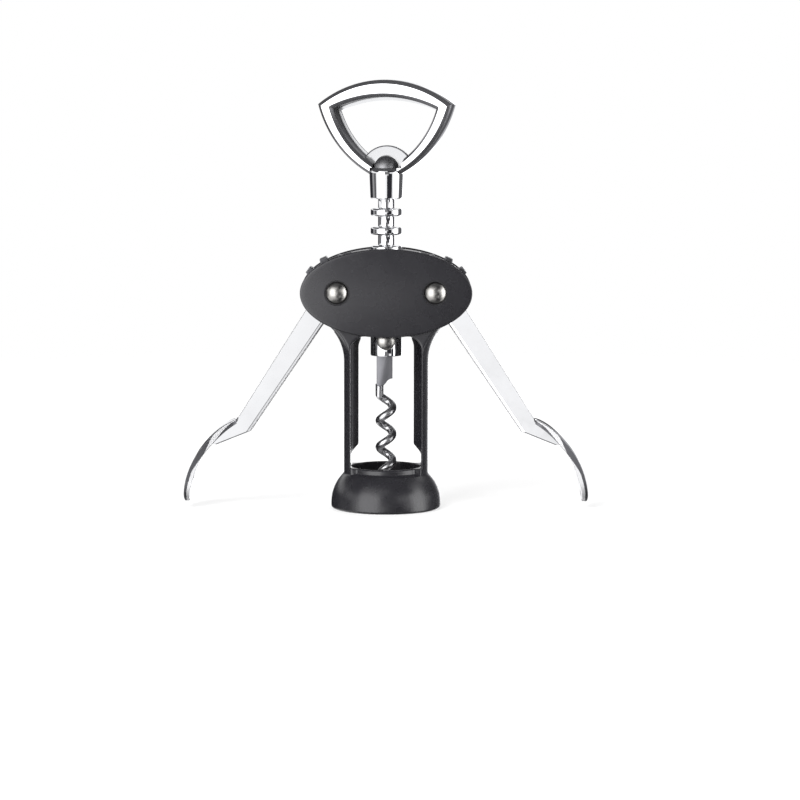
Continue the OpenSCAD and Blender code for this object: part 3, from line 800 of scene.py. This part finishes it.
def arm_outline(d):
    """The arm's outline: its lower edges move inwards by d, the others by up to 0.2."""
    small = min(d, 0.2)
    points = [(-22.64, 81.3), (-53.1, 32.9)] + [paddle_point(0.03 + 0.35 * k / 8, 0) for k in range(9)]
    points += [(-61, 22.9), (-48.5, 27.9), (-15.47, 76.73)]
    n = len(points)
    moves = [small] * (n - 3) + [0.35 * d, d, small]
    out = []
    for i in range(n):
        p, q, r = Vector(points[i - 1]), Vector(points[i]), Vector(points[(i + 1) % n])
        u, v = (q - p).normalized(), (r - q).normalized()
        nu, nv = Vector((-u.y, u.x)), Vector((-v.y, v.x))
        # the point where the two moved edges meet
        a, b = nu.dot(q) + moves[i - 1], nv.dot(q) + moves[i]
        det = nu.x * nv.y - nu.y * nv.x
        if abs(det) < 1e-4:
            out.append(tuple(q + nu * moves[i]))
        else:
            out.append(((a * nv.y - b * nu.y) / det, (nu.x * b - nv.x * a) / det))
    return out


def egg_width(t):
    """Half width of the paddle at t, from its upper end (0) to its tip (1)."""
    length = 2 * PADDLE_R * math.sin(math.radians((PADDLE_TO - PADDLE_FROM) / 2)) + 0.6
    top_r, tip_r = PADDLE_TOP_W / 2, PADDLE_W / 2
    s = t * length
    if s < top_r:
        return math.sqrt(max(0, top_r ** 2 - (top_r - s) ** 2))
    if s > length - tip_r:
        return math.sqrt(max(0, tip_r ** 2 - (s - length + tip_r) ** 2))
    return top_r + (tip_r - top_r) * (s - top_r) / (length - tip_r - top_r)


def make_paddle():
    rows = 72
    rings = []
    for i in range(rows + 1):
        t = 0.5 - 0.5 * math.cos(math.pi * (0.02 + 0.96 * i / rows))
        w = egg_width(t)
        near_end = min(1, math.sin(math.pi * min(t, 1 - t) / 0.16)) if min(t, 1 - t) < 0.08 else 1
        half = PADDLE_T / 2 * (0.7 + 0.3 * near_end) * (0.72 + 0.28 * ease(t, 0, 0.22))
        # thicker before the tip, on the inner side
        inner = half + 0.5 * ease(t, 0.5, 0.74) * (1 - ease(t, 0.74, 0.92))
        # the rim's zones of painted dark reflection: from the inner side at the upper end, from the outer
        # side farther down
        outer_painted_reflection = max(0.02, ease(t, 0.26, 0.48) * (1 - 0.55 * ease(t, 0.5, 0.72)))
        inner_painted_reflection = max(0.02, 0.97 * (1 - ease(t, -0.05, 0.36)))
        span = half + inner - 0.3
        high = half - 0.15 - outer_painted_reflection * span
        low = -inner + 0.15 + inner_painted_reflection * span
        rim = [(0.12, half), (0, half - 0.15), (0, high), (0, low), (0, -inner + 0.15), (0.12, -inner)]
        section = []
        # across the width, dished on the thumb's side, and round the two edges
        for k in range(1, 16):
            u = -1 + 2 * k / 16
            section.append((u * (w - 0.12), half - 0.55 * (1 - u * u) * near_end))
        section += [(w - d, h) for d, h in rim]
        for k in range(1, 16):
            u = 1 - 2 * k / 16
            section.append((u * (w - 0.12), -inner + 0.25 * (1 - u * u) * near_end))
        section += [(-w + d, h) for d, h in reversed(rim)]
        ring = []
        for y, h in section:
            x, z = paddle_point(t, h)
            ring.append((x, y, z))
        rings.append(ring)
    bm = loft(rings)
    bm.faces.ensure_lookup_table()
    n = len(rings[0])
    # the faces of the rim at the two edges, counted round the section: the dark zones get painted dark
    # reflection, the outer bevels and the upper inner bevels painted grey reflection, the middles and the
    # lower inner bevels a light band of painted highlight, and the rows at the blunt ends painted shade
    outer_bevels, painted_reflection_zones, middles, inner_bevels = (15, 40), (16, 18, 37, 39), (17, 38), (19, 36)
    for row in range(rows):
        blunt = row < 7 or row > rows - 5
        for k in range(n):
            if blunt or k in painted_reflection_zones:
                bm.faces[row * n + k].material_index = LEVER_SHADE_PAINT
            elif k in outer_bevels or (k in inner_bevels and row < rows / 2):
                bm.faces[row * n + k].material_index = GREY_REFLECTION_PAINT
            elif k in middles + inner_bevels:
                bm.faces[row * n + k].material_index = HIGHLIGHT_PAINT
    # the two end caps painted shade
    for f in bm.faces[-2:]:
        f.material_index = LEVER_SHADE_PAINT
    return new_object("paddle", bm)


def make_lever():
    # (distance behind the front face, inset): a thin line, a shallow chamfer and a rounded edge
    chamfer = [(0, 1.35), (0.04, 1.2), (0.24, 0.55), (0.8, 0)]
    # the thin lines painted grey reflection, the rounded edges a light band of painted highlight
    edges = {0: GREY_REFLECTION_PAINT, 2: HIGHLIGHT_PAINT, 4: HIGHLIGHT_PAINT, 6: GREY_REFLECTION_PAINT}
    arm = slab("left_lever", arm_outline, both_sides(ARM_T / 2, chamfer), edges)
    gear = slab("gear", gear_outline, both_sides(GEAR_T / 2, [(0, 0.3), (0.1, 0.1), (0.3, 0)]))
    # the gear with its teeth painted shade and dark reflection
    painted(gear, LEVER_SHADE_PAINT)
    paddle = make_paddle()
    for o in (arm, gear, paddle):
        for m in (CHROME, *LEVER_EXTRA):
            o.data.materials.append(m)
    boolean(arm, gear, "UNION")
    boolean(arm, paddle, "UNION")
    boolean(arm, rod_y("bore", -PIVOT_X, PIVOT_Z, PIN_R + 0.05, -8, 8), "DIFFERENCE")
    return sharpen(arm, 14)


def mirrored(o, name):
    copy = bpy.data.objects.new(name, o.data.copy())
    bpy.context.scene.collection.objects.link(copy)
    copy.data.transform(Matrix.Scale(-1, 4, (1, 0, 0)))
    copy.data.flip_normals()
    return copy


# ---- head covers and pins ----

def make_cover(name, back):
    # (inset, share of the height) of the rounded rim, then the scales of an even crown up to the middle
    rim = [(0, 0), (0, 0.45), (0.06, 0.66), (0.2, 0.84), (0.42, 0.95), (0.75, 1.0)]
    crown = [0.93, 0.88, 0.8, 0.7, 0.6, 0.5, 0.4, 0.3, 0.2, 0.1]
    # (half width, half height, share of the height)
    ovals = [(HEAD_A - d, HEAD_B - d, share) for d, share in rim]
    ovals += [(k * HEAD_A, k * HEAD_B, 1) for k in crown]
    n = 144
    rings = []
    for a, b, share in ovals:
        ring = []
        for k in range(n):
            x, z = a * math.cos(TAU * k / n), b * math.sin(TAU * k / n)
            h = share * (COVER_T - 1.55 * (x / HEAD_A) ** 2 - 1.1 * (z / HEAD_B) ** 2)
            ring.append((x, -CORE_Y - h, HEAD_Z + z))
        rings.append(ring)
    o = new_object(name, loft(rings))
    for side in (-1, 1):
        boolean(o, recess_cutter(side), "DIFFERENCE")
    if back:
        turned(o, math.pi)
    return sharpen(o, 32)


def recess_cutter(side):
    """A shallow round recess with a softened mouth."""
    r, mouth_r = RECESS_R, RECESS_R + 0.3
    steps = [(0, 0.6), (r - 0.05, 0.6), (r, 0.65), (r, 1.55), (r + 0.07, 1.75), (mouth_r, 2.05),
             (mouth_r, 4), (0, 4)]
    o = lathe_object("recess", [(radius, CORE_Y + y) for radius, y in steps], 72)
    return moved(turned(o, math.radians(90), "X"), side * PIVOT_X, 0, PIVOT_Z)


def make_pin(name, side, back):
    """A pivot pin with its domed head in front, or only the domed cap at the back."""
    head = [(DOME_R - 0.1, RECESS_Y), (DOME_R, RECESS_Y + 0.12)]
    head += dome_profile(DOME_R - 0.02, DOME_H - 0.15, RECESS_Y + 0.15)
    shaft = [(0, RECESS_Y)] if back else [(0, -RECESS_Y), (PIN_R, -RECESS_Y), (PIN_R, RECESS_Y)]
    o = lathe_object(name, shaft + head, 72)
    turned(o, math.radians(-90 if back else 90), "X")
    return sharpen(moved(o, side * PIVOT_X, 0, PIVOT_Z), 50)


# ---- frame ----

def make_frame():
    """The solid with its edges softened by a remesh, then thinned to a share of its triangles."""
    voxel, kept = 0.3 * MM, 0.4
    o = solid_copy("frame", "frame_body")
    skin = o.modifiers.new("skin", "REMESH")
    skin.mode = "VOXEL"
    skin.voxel_size = voxel
    skin.use_smooth_shade = True
    relax = o.modifiers.new("relax", "SMOOTH")
    relax.factor = 0.5
    relax.iterations = 5
    fewer = o.modifiers.new("fewer", "DECIMATE")
    fewer.ratio = kept
    bpy.context.view_layer.update()
    return apply_modifiers(o)


def make_seat():
    profile = [(THROAT_R, 8.2), (12.7, 8.1), (14.7, 8.1), (15.0, 8.3), (15.0, 9.2), (14.7, 9.4),
               (12.7, 9.4), (THROAT_R, 9.2)]
    return sharpen(lathe_object("seat_ring", profile, closed=True), 50)


def make_washer(name, side, y0, y1):
    bore, rim, edge = PIN_R, WASHER_R, 0.1
    profile = [(bore, y0 + edge), (bore + edge, y0), (rim - edge, y0), (rim, y0 + edge),
               (rim, y1 - edge), (rim - edge, y1), (bore + edge, y1), (bore, y1 - edge)]
    o = lathe_object(name, profile, 64, closed=True)
    return sharpen(moved(turned(o, math.radians(-90), "X"), side * PIVOT_X, 0, PIVOT_Z), 50)


finish_piece(make_frame(), "frame", "black_plastic", "frame")
finish_piece(make_seat(), "frame", "seat_rubber", "neck_seat")
finish_piece(make_cover("cover_front", False), "frame", "black_plastic", "front_cover")
finish_piece(make_cover("cover_back", True), "frame", "black_plastic", "back_cover")
for label, side in (("left", -1), ("right", 1)):
    finish_piece(make_pin(f"pin_{label}", side, False), "frame", "pin_steel", f"{label}_pin")
    finish_piece(make_pin(f"pin_cap_{label}", side, True), "frame", "pin_steel", f"{label}_pin_cap")
    for place, y0, y1 in (("front", -4.2, -3.45), ("back", 3.45, 4.2)):
        washer = make_washer(f"washer_{label}_{place}", side, y0, y1)
        finish_piece(washer, "frame", "nylon", f"{label}_{place}_washer")
left = make_lever()
right = mirrored(left, "lever_right")
left.name = "lever_left"
for lever, body in ((left, "left_lever"), (right, "right_lever")):
    finish_piece(lever, body, "chrome", body, LEVER_EXTRA)
finish_piece(make_rack(), "rack", "chrome", "rack_sleeve")
finish_piece(make_spindle(), "spindle", "worm_steel", "spindle_rod", (DOME_STEEL,))
finish_piece(make_handle(), "spindle", "chrome", "handle", HANDLE_EXTRA)
finish_piece(make_lifter(), "spindle", "lifter_steel", "cap_lifter", (CHROME_PAINTED_REFLECTION_SHADE,))
finish_piece(make_collar(), "spindle", "chrome", "worm_collar")
finish_piece(make_worm_pin(), "spindle", "pin_steel", "worm_pin")
finish_piece(make_worm(), "spindle", "worm_steel", "worm", (SHANK_STEEL,))
